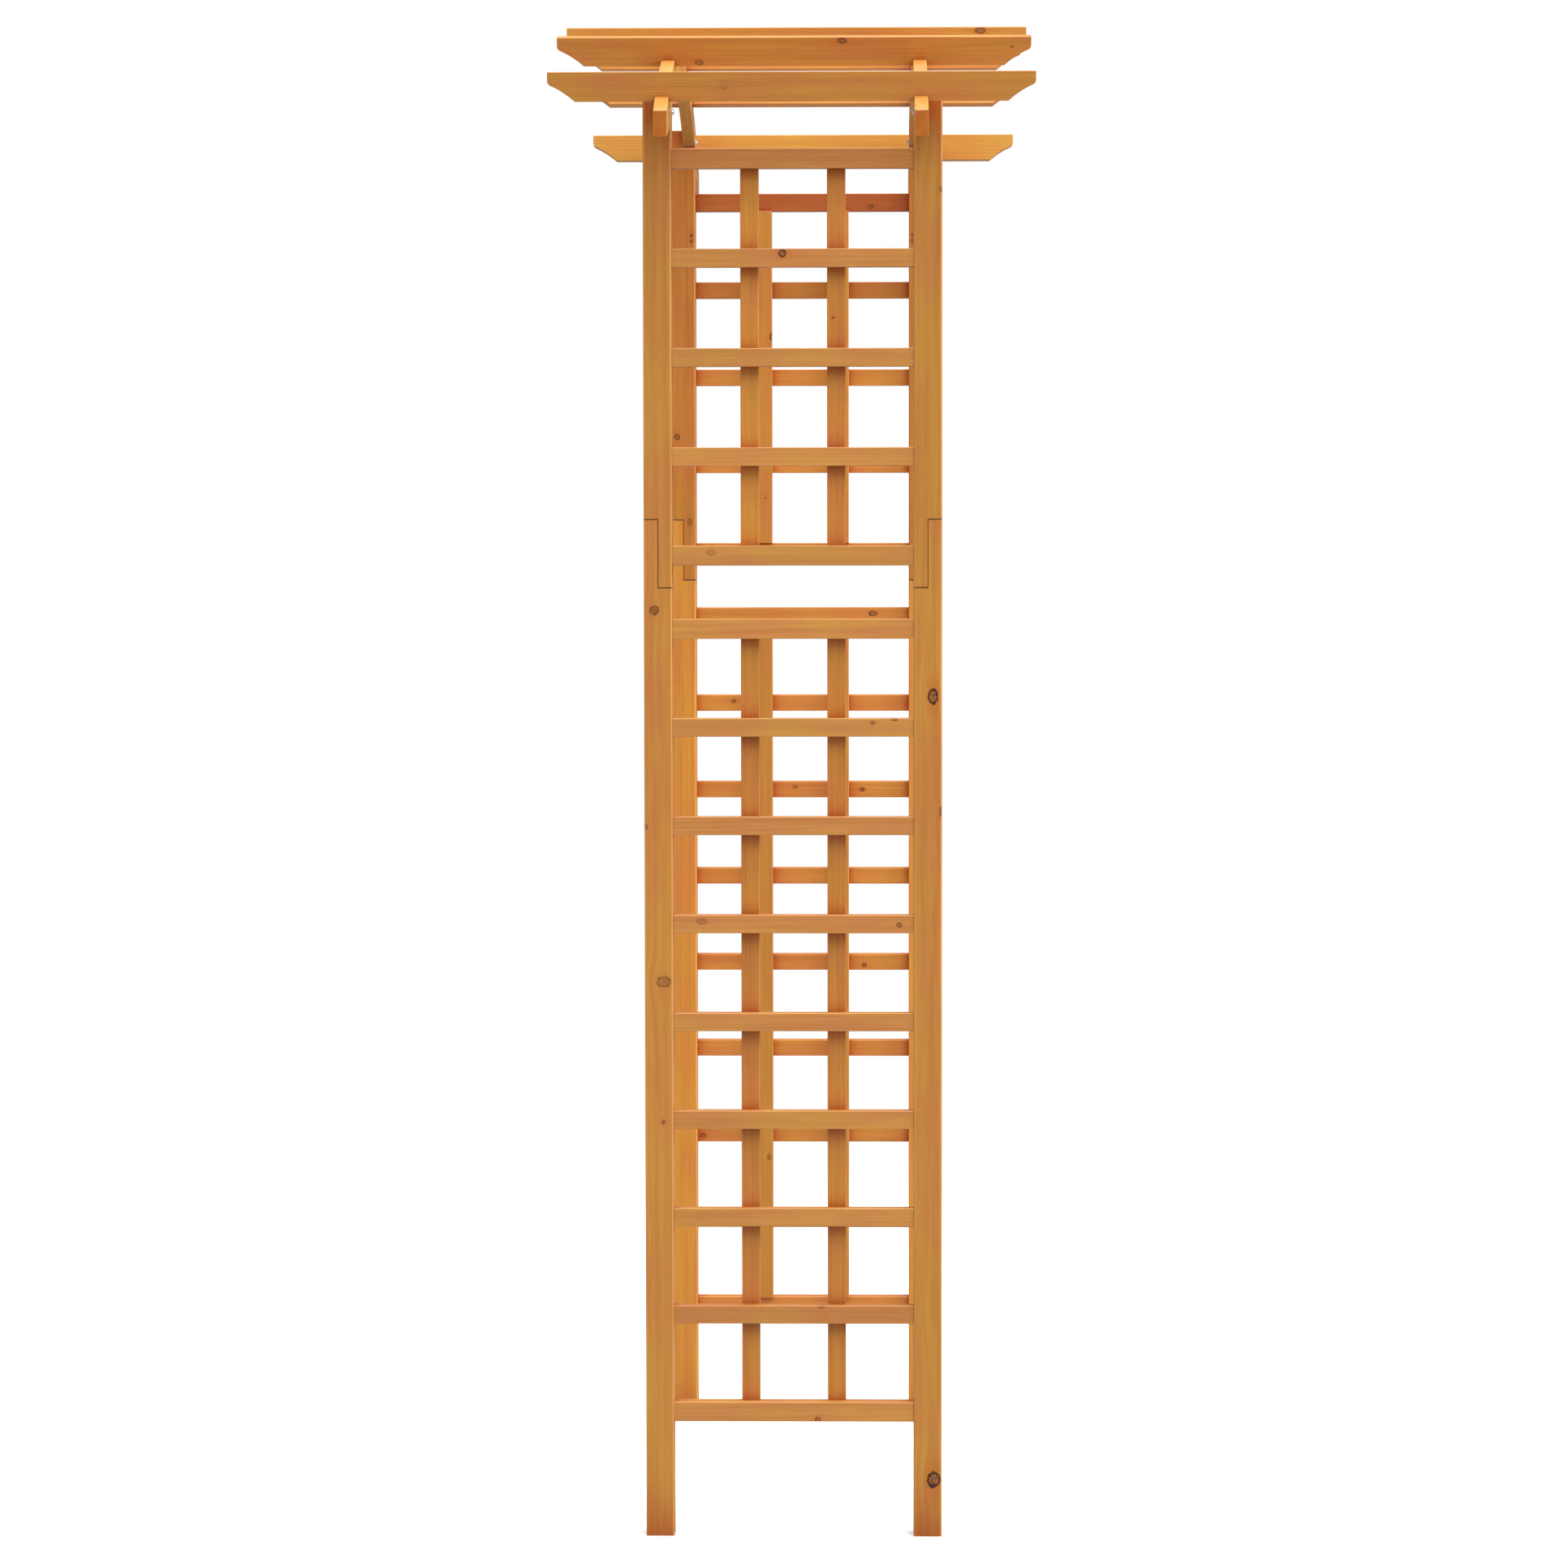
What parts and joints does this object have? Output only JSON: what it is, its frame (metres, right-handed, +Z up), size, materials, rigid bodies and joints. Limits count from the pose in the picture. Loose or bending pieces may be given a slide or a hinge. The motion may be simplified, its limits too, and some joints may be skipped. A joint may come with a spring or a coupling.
{
  "type": "garden arbor",
  "caption": "Freestanding wooden garden arbor: two trellis side panels joined by arched rafters and cross slats, to walk through and grow climbers on.",
  "frame": {"origin": "on the ground, in the middle between the four posts", "axes": "+X along the cross slats and side-panel width, +Y through the arch from the front panel to the back panel, +Z up"},
  "size_m": [0.676, 1.2, 2.1682],
  "materials": {
    "post_wood": "honey-brown stained softwood, satin",
    "lattice_wood": "honey-brown stained softwood, satin",
    "roof_wood": "honey-brown stained softwood, satin",
    "steel": "bright zinc-plated"
  },
  "bodies": {
    "root": {"front_left_lower_post": "post_wood", "front_left_upper_post": "post_wood", "front_right_lower_post": "post_wood", "front_right_upper_post": "post_wood", "back_left_lower_post": "post_wood", "back_left_upper_post": "post_wood", "back_right_lower_post": "post_wood", "back_right_upper_post": "post_wood", "front_lower_rail_1": "lattice_wood", "front_lower_rail_2": "lattice_wood", "front_lower_rail_3": "lattice_wood", "front_lower_rail_4": "lattice_wood", "front_lower_rail_5": "lattice_wood", "front_lower_rail_6": "lattice_wood", "front_lower_rail_7": "lattice_wood", "front_lower_rail_8": "lattice_wood", "front_lower_rail_9": "lattice_wood", "front_upper_rail_1": "lattice_wood", "front_upper_rail_2": "lattice_wood", "front_upper_rail_3": "lattice_wood", "front_upper_rail_4": "lattice_wood", "front_upper_rail_5": "lattice_wood", "back_lower_rail_1": "lattice_wood", "back_lower_rail_2": "lattice_wood", "back_lower_rail_3": "lattice_wood", "back_lower_rail_4": "lattice_wood", "back_lower_rail_5": "lattice_wood", "back_lower_rail_6": "lattice_wood", "back_lower_rail_7": "lattice_wood", "back_lower_rail_8": "lattice_wood", "back_lower_rail_9": "lattice_wood", "back_upper_rail_1": "lattice_wood", "back_upper_rail_2": "lattice_wood", "back_upper_rail_3": "lattice_wood", "back_upper_rail_4": "lattice_wood", "back_upper_rail_5": "lattice_wood", "front_left_lower_upright": "lattice_wood", "front_left_upper_upright": "lattice_wood", "front_right_lower_upright": "lattice_wood", "front_right_upper_upright": "lattice_wood", "back_left_lower_upright": "lattice_wood", "back_left_upper_upright": "lattice_wood", "back_right_lower_upright": "lattice_wood", "back_right_upper_upright": "lattice_wood", "left_rafter": "roof_wood", "right_rafter": "roof_wood", "slat_1": "roof_wood", "slat_2": "roof_wood", "slat_3": "roof_wood", "slat_4": "roof_wood", "slat_5": "roof_wood", "slat_6": "roof_wood", "front_lattice_brads": "steel", "back_lattice_brads": "steel", "lap_screws": "steel", "rafter_screws": "steel", "slat_screws": "steel"}
  },
  "joints": []
}
